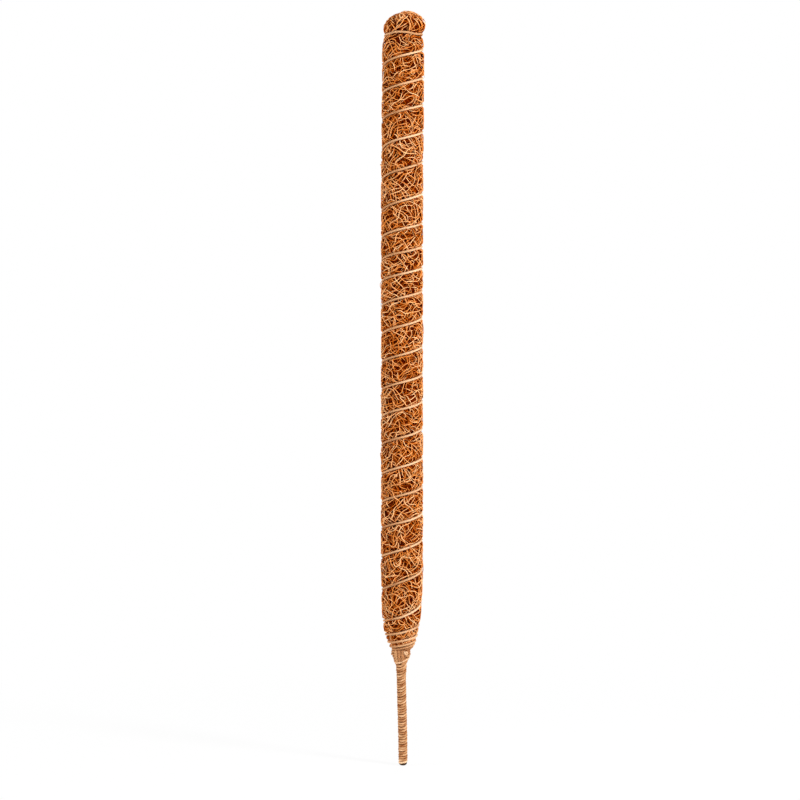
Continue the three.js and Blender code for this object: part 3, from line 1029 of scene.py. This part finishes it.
# The darker tones of the deeper crown groups are painted shade for depth.
crown_strands("crown_deep", 70, steps=18, curl=0.06, depths=(2.0, 3.0), widths=(0.5, 0.7),
              tones=(0.02, 0.16), sides=4)
crown_strands("crown_under", 70, steps=16, curl=0.08, depths=(1.3, 2.3), widths=(0.45, 0.65),
              tones=(0.14, 0.32), sides=4)
crown_strands("crown_middle", 52, steps=18, curl=0.05, depths=(0.9, 1.8), widths=(0.6, 0.8),
              tones=(0.26, 0.5), sides=5)
crown_strands("crown_top", 46, steps=16, curl=0.05, depths=(-0.2, 0.5), widths=(0.52, 0.74),
              tones=(0.58, 0.9), sides=6)
crown_strands("crown_crest", 24, steps=12, curl=0.05, depths=(-0.2, 0.6), widths=(0.58, 0.8),
              tones=(0.46, 0.74), sides=6, lowest=0.76)

# %% [markdown]
# A few thick strands at the front give this crown its own face. Chance would not put them there, so
# their ends are listed: for each end the turn around the pole and the drop below the top.

# %% Bold strands on the front of the crown
CROWN_FRONT = (
    ((-0.130, 14.0), (-0.066, 27.5)),
    ((-0.070, 26.0), (-0.006, 13.0)),
    ((0.004, 9.0), (-0.060, 21.0)),
    ((0.010, 11.0), (0.041, 28.0)),
    ((0.040, 9.5), (0.104, 27.5)),
    ((0.096, 6.5), (0.174, 23.0)),
    ((-0.196, 17.0), (-0.126, 26.5)),
    ((-0.110, 9.0), (-0.034, 15.5)),
    ((0.150, 27.0), (0.075, 12.0)),
)
BOLD = len(CROWN_FRONT)
BOLD_STEPS = 16
BOLD_LIFT = 0.6
ends = np.array(CROWN_FRONT)
share = np.linspace(0, 1, BOLD_STEPS)[None]
turn = ends[:, 0, :1] + (ends[:, 1, :1] - ends[:, 0, :1]) * share
drop = ends[:, 0, 1:] + (ends[:, 1, 1:] - ends[:, 0, 1:]) * share
bow = rng.uniform(-0.02, 0.02, (BOLD, 1)) * np.sin(np.pi * share)
half = rng.uniform(0.62, 0.84, (BOLD, 1))
# The bold strands share the painted shade of the hollow.
tone = rng.uniform(0.66, 0.9, (BOLD, 1)) - hollow_painted_shade(turn, CROWN_TOP - drop)
depth = np.full((BOLD, 1), -BOLD_LIFT)
strand_group("crown_bold", down_at(CROWN_TOP - drop), turn + bow, depth, half, tone, 6, lumps=0.3)

# %% [markdown]
# Short tufts stand off the crown as stray ends do off the body, but thicker and paler.

# %% Tufts that stand off the crown
TUFTS = 46
TUFT_STEPS = 8
TUFT_BEND = 0.13
TUFT_DEPTH = 0.2
bend = rng.normal(0, TUFT_BEND, (TUFTS, 1)) * np.ones(TUFT_STEPS)
around = rng.uniform(0, 2 * np.pi, (2, TUFTS))
down, turn = walk_dome(rng.uniform(0.3, 1, TUFTS), *around, bend)
rise = rng.uniform(0.4, 1.5, (TUFTS, 1)) * np.linspace(0, 1, TUFT_STEPS) ** 2
half = rng.uniform(0.2, 0.34, (TUFTS, 1))
tone = rng.uniform(0.45, 0.8, (TUFTS, 1))
strand_group("crown_tufts", down, turn, TUFT_DEPTH - rise, half, tone, 4, tuck=0.0, over=True)

# %% [markdown]
# ## Twine
# The twine has two plies twisted together. Two thin tubes could wind around each other, but at this
# size one tube will do. Its section is the outline of two discs side by side, turned a little at each
# step, which leaves the shallow slanting furrow of the twist along the whole length. The twine draws its
# chances from a source of its own, so a change to the strands leaves it as it is.

# %% Twine along a path
twine_rng = np.random.default_rng(407)
PLY_OFFSET = 0.2
TWIST_LENGTH = 10
TWINE_SIDES = 12
MAP_STEPS = 60
TWINE_TONES = (0.05, 0.95)


def twine_tube(name, points, outward, tone, scale=1.0, painted_furrow_shade=0.0):
    steps = len(points)
    length = np.concatenate(([0], np.cumsum(np.linalg.norm(np.diff(points, axis=0), axis=1))))
    ply = 1 - PLY_OFFSET
    roll = 2 * np.pi * np.arange(TWINE_SIDES) / TWINE_SIDES - 2 * np.pi * length[:, None] / TWIST_LENGTH
    lobes = PLY_OFFSET * np.abs(np.cos(roll)) + np.sqrt(ply ** 2 - (PLY_OFFSET * np.sin(roll)) ** 2)
    radii = TWINE_RADIUS * lobes * np.broadcast_to(scale, steps)[:, None]
    there_and_back = np.abs((np.arange(steps) + MAP_STEPS) % (2 * MAP_STEPS) - MAP_STEPS) / MAP_STEPS
    along = 2 * MAP_EDGE + (1 - 4 * MAP_EDGE) * there_and_back
    tones = np.broadcast_to(np.clip(tone, *TWINE_TONES), steps)
    tube = (points[None], outward[None], radii[None], tones[None], along[None])
    piece = sweep(name, *tube, TWINE, painted_furrow_shade)
    return piece


def slow_noise(turn, size, waves):
    """Unevenness of a given size, from waves whose lengths are given in turns."""
    total = np.zeros_like(turn)
    for wave in waves:
        total += np.sin(2 * np.pi * turn / wave + twine_rng.uniform(0, 2 * np.pi))
    return size * (total / len(waves))


def wound(turn, radius, height):
    angle = 2 * np.pi * turn - np.pi / 2
    points = np.stack((radius * np.cos(angle), radius * np.sin(angle), height), -1)
    outward = np.stack((np.cos(angle), np.sin(angle), np.zeros_like(angle)), -1)
    return points, outward


print("twine is", 2 * TWINE_RADIUS, "mm thick, with a twist every", TWIST_LENGTH, "mm")

# %% [markdown]
# ### Lashing
# One long twine binds the body. It follows the route that the strands already duck under, with a little
# unevenness of its own, has painted shade on the left, away from the light, and ends tucked into the coir.

# %% Lashing of the body
TURN_STEPS = 128
JOIN_TURN = 2.5
LASHING_SCALE = 0.93
LASHING_TUCK = 4
TUCK_TURNS = 0.16
LASHING_TONE = 0.7
PAINTED_LEFT_SHADE = 0.25
LEFT_EDGES = (-0.4, 0.5)
turn = np.arange(JOIN_TURN * TURN_STEPS, LASHING_END * TURN_STEPS + 1) / TURN_STEPS
height = twine_height(turn) + slow_noise(turn, size=0.5, waves=(0.9, 2.3, 0.37))
tucked = LASHING_TUCK * smoothstep(turn, LASHING_END - TUCK_TURNS, LASHING_END)
radius = twine_radius_at(turn) - tucked + slow_noise(turn, size=0.15, waves=(0.31, 0.17))
points, outward = wound(turn, radius, height)
# Painted shade darkens the twine on the left, away from the key lamp.
at_left = smoothstep(-np.sin(2 * np.pi * turn), *LEFT_EDGES)
tone = LASHING_TONE + slow_noise(turn, size=0.12, waves=(1.7, 0.6)) - PAINTED_LEFT_SHADE * at_left
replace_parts(twine_tube("lashing", points, outward, tone, LASHING_SCALE), "lashing_twine")

# %% [markdown]
# ### Tie of the crown
# One level turn of twine pulls the crown in. A plain ring would look machined, so it tilts a little,
# rises left of the middle and sags right of it, where the coir pushes it down.

# %% Tie of the crown
TIE_OVERLAP_STEPS = 9
TIE_TILT = 0.7
TIE_SAG = 2.0
SAG_TURN = 0.115
SAG_WIDTH = 0.07
TIE_LIFT = 0.6
LIFT_TURN = -0.06
LIFT_WIDTH = 0.05
TIE_TONE = 0.52
turn = np.arange(TURN_STEPS + TIE_OVERLAP_STEPS) / TURN_STEPS + 0.5
part = np.mod(turn + 0.5, 1) - 0.5
lifted = TIE_LIFT * np.exp(-((part - LIFT_TURN) / LIFT_WIDTH) ** 2)
sagged = TIE_SAG * np.exp(-((part - SAG_TURN) / SAG_WIDTH) ** 2)
height = TIE_HEIGHT + lifted - sagged + TIE_TILT * np.sin(2 * np.pi * turn)
points, outward = wound(turn, np.full_like(turn, TIE_RADIUS), height)
tone = TIE_TONE + slow_noise(turn, size=0.1, waves=(0.4, 0.7))
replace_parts(twine_tube("crown_tie", points, outward, tone, LASHING_SCALE), "top_tie")

# %% [markdown]
# ### Neck
# Below the taper the twine is wound closely to hold the coir on the wires. The same route goes on here
# with a close pitch. Two ridges at the left, a narrow foot and a dark hole at the front, where the turns
# part beside the hitch, keep it from looking like a spring.

# %% Turns of the neck
RIDGE = 0.9
FOOT_DRAWN_IN = 1.0
FOOT_HEIGHTS = (NECK_TOP - 3, NECK_TOP - 12)
HOLE_TURN = 0.075
HOLE_WIDTH = 0.03
HOLE_BELOW = 8.4
HOLE_HALF_HEIGHT = 1.8
HOLE_DEPTH = 3.2
NECK_TONE = 0.36
CONE_PALER = 0.24
LEFT_PAINTED_SHADE = 0.7


def near_height(height, below_top, half_height):
    return np.exp(-((height - NECK_TOP + below_top) / half_height) ** 2)


first = (STAKE_LENGTH - NECK_TOP) / CLOSE_PITCH
turn = np.arange(math.ceil(first * TURN_STEPS), JOIN_TURN * TURN_STEPS) / TURN_STEPS
height = twine_height(turn) + TWINE_RADIUS * (1 - smoothstep(turn, first, first + 1))
at_left = np.clip(-np.sin(2 * np.pi * turn), 0, None) ** 3
upper_ridge = near_height(height, below_top=5.5, half_height=2.5)
lower_ridge = near_height(height, below_top=14, half_height=2)
lump = RIDGE * at_left * (upper_ridge + lower_ridge)
lump = lump + slow_noise(turn, size=0.3, waves=(2.7, 0.8)) * (1 - smoothstep(turn, 0, 1))
lump = lump - FOOT_DRAWN_IN * smoothstep(height, *FOOT_HEIGHTS)
at_hole = np.exp(-((np.mod(turn, 1) - HOLE_TURN) / HOLE_WIDTH) ** 2)
lump = lump - HOLE_DEPTH * at_hole * near_height(height, HOLE_BELOW, HOLE_HALF_HEIGHT)
radius = twine_radius_at(turn) + lump + slow_noise(turn, size=0.2, waves=(0.8, 0.33))
points, outward = wound(turn, radius, height)
tone = NECK_TONE + slow_noise(turn, size=0.13, waves=(0.9, 0.45))
# Painted shade keeps the cone turns duller on the left, away from the light.
tone = tone + CONE_PALER * smoothstep(turn, 0, 2) * (1 - LEFT_PAINTED_SHADE * at_left)
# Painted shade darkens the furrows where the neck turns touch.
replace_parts(twine_tube("neck_turns", points, outward, tone, scale=0.98, painted_furrow_shade=0.2), "neck_whipping")

# %% [markdown]
# ### Stake
# The stake is wound from the tip up, turn on turn, so the soil can't pull the twine loose. A ribbed
# sleeve would do for a distant view, but here it is one twine. The turns sag at the front, slant more
# towards the neck and differ in tone and thickness. They stay close enough to hide the wires.

# %% Turns of the stake
STAKE_STEPS = 40
STAKE_SLACK = 0.4
BORE_RADIUS = STAKE_RADIUS - 2 * TWINE_RADIUS
NECK_SWELL = 0.7
NECK_SWELL_HEIGHTS = (STAKE_LENGTH - 17, STAKE_LENGTH - 3)
UPWARD_SWELL = 0.2
UPWARD_SWELL_HEIGHTS = (40, 90)
START_TUCK = 1.6
START_TUCK_TURNS = 0.12
STEADY_TURNS = (1, 9)
GRIP_TURNS = 0.3
SAG = 2.4
SAG_AT_TIP = 0.9
SAG_RISE = 34
SLANT = 1.5
SLANT_AT_TIP = 0.2
SLANT_HEIGHTS = (45, 100)
STAKE_TONE = 0.5
PALE_TIP = 0.35
PALE_TIP_HEIGHTS = (4, 10)
low = CAP_HEIGHT
high = STAKE_LENGTH + 2 * TWINE_RADIUS
turn = np.arange(0, (high - low) / CLOSE_PITCH * STAKE_STEPS) / STAKE_STEPS
uneven = slow_noise(turn, size=0.4, waves=(1.7, 3.1, 5.3)) * smoothstep(turn, *STEADY_TURNS)
height = low + CLOSE_PITCH * turn + uneven
swell = NECK_SWELL * smoothstep(height, *NECK_SWELL_HEIGHTS)
swell = swell + UPWARD_SWELL * smoothstep(height, *UPWARD_SWELL_HEIGHTS)
swell = swell + slow_noise(turn, size=0.12, waves=(2.3, 0.9))
tucked = START_TUCK * smoothstep(turn, START_TUCK_TURNS, 0)
radius = BORE_RADIUS + TWINE_RADIUS + STAKE_SLACK + swell - tucked
points, outward = wound(turn + 0.5, radius, height)
slant = SLANT_AT_TIP + (SLANT - SLANT_AT_TIP) * smoothstep(height, *SLANT_HEIGHTS)
sag = SAG_AT_TIP + (SAG - SAG_AT_TIP) * smoothstep(height, low, low + SAG_RISE)
points[:, 2] += smoothstep(turn, 0, GRIP_TURNS) * (slant * outward[:, 0] + sag * outward[:, 1])
tone = STAKE_TONE + slow_noise(turn, size=0.32, waves=(2.7, 0.83, 0.37))
tone = tone + PALE_TIP * (1 - smoothstep(height, *PALE_TIP_HEIGHTS))
scale = 1 + slow_noise(turn, size=0.1, waves=(1.37, 0.71, 0.29))
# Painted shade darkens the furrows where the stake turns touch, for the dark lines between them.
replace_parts(twine_tube("stake_turns", points, outward, tone, scale, painted_furrow_shade=0.4), "stake_whipping")

# %% [markdown]
# ## Hitch and knot
# Three upright strands cross the neck turns at the front and lock them. A thin tail crosses the feet of
# the strands, and a knot sits at the front right. They are tubes of the same twine on short paths. The
# ends of each path dive into the turns, as the ends of a real hitch do.

# %% Hitch
HITCH_TOPS = (-0.098, -0.037, 0.018)
HITCH_FEET = (-0.073, -0.031, 0.018)
HITCH_TONES = (0.44, 0.28, 0.28)
HITCH_SCALES = (1.6, 1.5, 1.5)
HITCH_LENGTH = 13
HITCH_STEPS = 30
HITCH_TUCK = 1.6
HITCH_END = 0.12


def over_neck(height):
    return coir_radius(height) + (2 * TWINE_RADIUS + 2 * FIT_GAP) * slope_factor(height)


share = np.linspace(0, 1, HITCH_STEPS)
height = NECK_TOP - TWINE_RADIUS - HITCH_LENGTH * share
tucked = HITCH_TUCK * (smoothstep(share, HITCH_END, 0) + smoothstep(share, 1 - HITCH_END, 1))
radius = over_neck(height) - 0.5 * TWINE_RADIUS - tucked
strands = zip(HITCH_TOPS, HITCH_FEET, HITCH_TONES, HITCH_SCALES)
for number, (top_turn, foot_turn, tone, scale) in enumerate(strands, 1):
    points, outward = wound(top_turn + (foot_turn - top_turn) * share, radius, height)
    piece = twine_tube(f"hitch_{number}", points, outward, tone, scale)
    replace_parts(piece, f"hitch_strand_{number}")

# %% Tail that crosses the feet of the hitch
TAIL_STEPS = 60
TAIL_TURNS = (-0.2, 0.3)
TAIL_START = 2
TAIL_RISE = 7.5
TAIL_RISE_TURNS = (-0.1, 0.26)
TAIL_TUCK = 3
LEFT_TUCK_TURNS = (-0.06, -0.2)
RIGHT_TUCK_TURNS = (0.1, 0.24)
turn = np.linspace(*TAIL_TURNS, TAIL_STEPS)
height = STAKE_LENGTH + TAIL_START + TAIL_RISE * smoothstep(turn, *TAIL_RISE_TURNS)
tucked = TAIL_TUCK * (smoothstep(turn, *LEFT_TUCK_TURNS) + smoothstep(turn, *RIGHT_TUCK_TURNS))
points, outward = wound(turn, over_neck(height) + 0.5 * TWINE_RADIUS - tucked, height)
twine_tube("hitch_tail", points, outward, tone=0.78, scale=0.62)

# %% [markdown]
# The knot is an overhand knot, which has a short formula: a line that goes twice around and three times
# over and under itself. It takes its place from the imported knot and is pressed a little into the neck.

# %% Knot
KNOT_SINK = 0.6
KNOT_WIDTH = 0.66
KNOT_HEIGHT = 0.6
KNOT_OVER = 0.9
KNOT_STEPS = 90
KNOT_OPENING = 0.3
knot_low, knot_high = span("neck_knot")
knot_middle = (knot_low + knot_high) / 2
knot_out = unit(np.array((knot_middle[0], knot_middle[1], 0)))
knot_side = np.cross((0, 0, 1), knot_out)
bend = np.linspace(KNOT_OPENING, 2 * np.pi - KNOT_OPENING, KNOT_STEPS)[:, None]
flat_x = KNOT_WIDTH * (np.sin(bend) + 2 * np.sin(2 * bend))
flat_y = KNOT_HEIGHT * (np.cos(bend) - 2 * np.cos(2 * bend))
over = -KNOT_OVER * np.sin(3 * bend) - KNOT_SINK
points = knot_middle + over * knot_out + flat_x * knot_side + flat_y * np.array((0, 0, 1))
outward = np.broadcast_to(knot_out, points.shape)
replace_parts(twine_tube("knot", points, outward, tone=0.77, scale=0.72), "neck_knot")

# %% [markdown]
# ## Tip cap
# A small dark moulded cap closes the stake and keeps the wires from piercing the pot. A sphere with its
# end cut off would come close. Here a rounded profile with a flat end is turned, so that the cap stands
# on its flat and its rim hides under the first turn of twine. Fine grain makes it look moulded.

# %% Tip cap finish
def plastic_finish():
    finish = Finish("tip_plastic")
    here = finish.here()
    grain = finish.noise(here, scale=900.0, detail=4.0)
    wear = finish.noise(here, scale=160.0, detail=2.0)
    colour = finish.ramp(wear, [(0.35, paint(34, 20, 12)), (0.7, paint(58, 38, 24))])
    finish.dress(colour, finish.grey(grain, low=0.55, high=0.75), specular=0.1)
    finish.bump(grain, strength=0.3, distance=0.0002)
    return finish.material


PLASTIC = plastic_finish()

# %% Tip cap
CAP_FLAT = 1.2
CAP_INSET = 0.45
RIM_INSET = 0.2
CAP_ROUND = 0.9 * CAP_HEIGHT
CAP_CORNER_POINTS = 12
CAP_COLUMNS = 48
cap_radius = STAKE_RADIUS - CAP_INSET
corner = np.linspace(-np.pi / 2, 0, CAP_CORNER_POINTS)
cap_radii = np.concatenate((CAP_FLAT + (cap_radius - CAP_FLAT) * np.cos(corner),
                           (cap_radius - RIM_INSET, BORE_RADIUS)))[:, None]
cap_heights = np.concatenate((CAP_ROUND * (1 + np.sin(corner)), (CAP_HEIGHT, CAP_HEIGHT)))[:, None]
angle = 2 * np.pi * np.arange(CAP_COLUMNS) / CAP_COLUMNS
across = (cap_radii * np.cos(angle), cap_radii * np.sin(angle))
corners = np.stack(np.broadcast_arrays(*across, cap_heights), -1)
ring = np.arange(corners.size // 3).reshape(len(cap_radii), CAP_COLUMNS)
cap = new_piece("stake_cap", bowed(corners), turned_faces(ring), PLASTIC)
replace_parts(cap, "tip_cap")

# %% [markdown]
# ## Pieces carried over from the frame
# The wires and the packing are inside the pole and are hardly seen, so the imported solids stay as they
# are. The wires get a finish of dark annealed iron, with a noise stretched along them for the lines that
# the drawing die leaves. The packing is coir, so it shares the finish of the bed.

# %% Wire and packing finishes
def wire_finish():
    finish = Finish("iron_wire")
    drawn = finish.add("Mapping", {"Vector": finish.here(), "Scale": (900, 900, 40)}).outputs["Vector"]
    lines = finish.noise(drawn, scale=1.0, detail=4.0)
    colour = finish.ramp(lines, [(0.3, paint(52, 32, 20)), (0.7, paint(84, 60, 42))])
    finish.dress(colour, finish.grey(lines, low=0.5, high=0.7), specular=0.5)
    finish.put(0.5, finish.shader.inputs["Metallic"])
    finish.bump(lines, strength=0.2, distance=0.0001)
    return finish.material


WIRE = wire_finish()
carried = {name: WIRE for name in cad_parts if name.startswith("core_wire")}
# The packing gets the bed's dark finish, with its painted shade.
carried["coir_packing"] = BED_PAINTED_SHADE
for name, finish in carried.items():
    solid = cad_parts[name].data
    solid.materials.clear()
    solid.materials.append(finish)
print("carried over:", sorted(carried))

# %% [markdown]
# ## Studio
# A product portrait stands on white paper. More light would burn the paper white, but the pole with it.
# So the floor and the surround are lit plainly, and only rays that look at them, straight or in a
# mirror, see them white. Near the pole the floor keeps a tenth of its own shade, and with it the shadow.

# %% Floor
WHITE = (1, 1, 1, 1)
FLOOR_HALF = 12


def looked_at(nodes):
    path = nodes.add("LightPath").outputs
    mirrored = nodes.add("Math", {0: path["Is Glossy Ray"], 1: path["Is Transmission Ray"]})
    looked = nodes.add("Math", {0: path["Is Camera Ray"], 1: mirrored.outputs[0]}, use_clamp=True)
    return looked.outputs[0]


def floor_finish():
    finish = Finish("studio_floor")
    finish.dress(paint(236, 236, 236), 0.9, specular=0.5)
    glow = finish.add("Emission", {"Color": WHITE, "Strength": 1.0})
    from_pole = finish.add("VectorMath", {0: finish.here()}, operation="LENGTH").outputs["Value"]
    reach = {"From Min": 0.1, "From Max": 0.9, "To Min": 0.9, "To Max": 1.0}
    share = finish.add("MapRange", {"Value": from_pole, **reach}).outputs["Result"]
    seen = finish.add("Math", {0: looked_at(finish), 1: share}, operation="MULTIPLY").outputs[0]
    both = finish.add("MixShader", {0: seen, 1: finish.shader.outputs[0], 2: glow.outputs[0]})
    output = next(node for node in finish.tree.nodes if node.type == "OUTPUT_MATERIAL")
    finish.put(both.outputs[0], output.inputs["Surface"])
    return finish.material


mesh = bpy.data.meshes.new("studio_floor")
sides = ((-1, -1), (1, -1), (1, 1), (-1, 1))
mesh.from_pydata([(FLOOR_HALF * x, FLOOR_HALF * y, 0) for x, y in sides], [], [(0, 1, 2, 3)])
mesh.materials.append(floor_finish())
floor = bpy.data.objects.new("studio_floor", mesh)
bpy.context.scene.collection.objects.link(floor)
print("floor is", 2 * FLOOR_HALF, "m wide")

# %% Surround
SOFT_LIGHT = 0.22
world = bpy.data.worlds.new("studio")
bpy.context.scene.world = world
world.use_nodes = True
world.node_tree.nodes.clear()
surround = Nodes(world.node_tree)
soft = surround.add("Background", {"Strength": SOFT_LIGHT})
white = surround.add("Background", {"Color": WHITE})
seen = surround.add("MixShader", {0: looked_at(surround), 1: soft.outputs[0], 2: white.outputs[0]})
surround.add("OutputWorld", {"Surface": seen.outputs[0]})
print("surround lights the pole at", SOFT_LIGHT)

# %% [markdown]
# Four soft disc lamps light the pole. The key lamp at the front right is the smallest and strongest, so
# the strands cast short shadows to the left. The fill lamp opens those shadows, and the lamps above and
# behind lift the crown and the back. A single large window would be softer, but the coir would look flat.

# %% Lamps
LAMP_AIM = Vector((0, 0, 0.45))


def lamp(name, stand, size, power):
    light = bpy.data.lights.new(name, "AREA")
    light.shape = "DISK"
    light.size = size
    light.energy = power
    holder = bpy.data.objects.new(name, light)
    bpy.context.scene.collection.objects.link(holder)
    holder.location = stand
    holder.rotation_euler = (LAMP_AIM - holder.location).to_track_quat("-Z", "Y").to_euler()
    print(name, "gives", power, "W")


lamp("key_lamp", stand=(1.75, -1.3, 1.3), size=0.5, power=64)
lamp("fill_lamp", stand=(-2.0, -0.5, 0.8), size=1.4, power=37)
lamp("top_lamp", stand=(0.2, -0.5, 2.4), size=0.8, power=9)
lamp("back_lamp", stand=(0.3, 1.8, 1.4), size=1.2, power=14)
bpy.context.scene.view_settings.view_transform = "Standard"
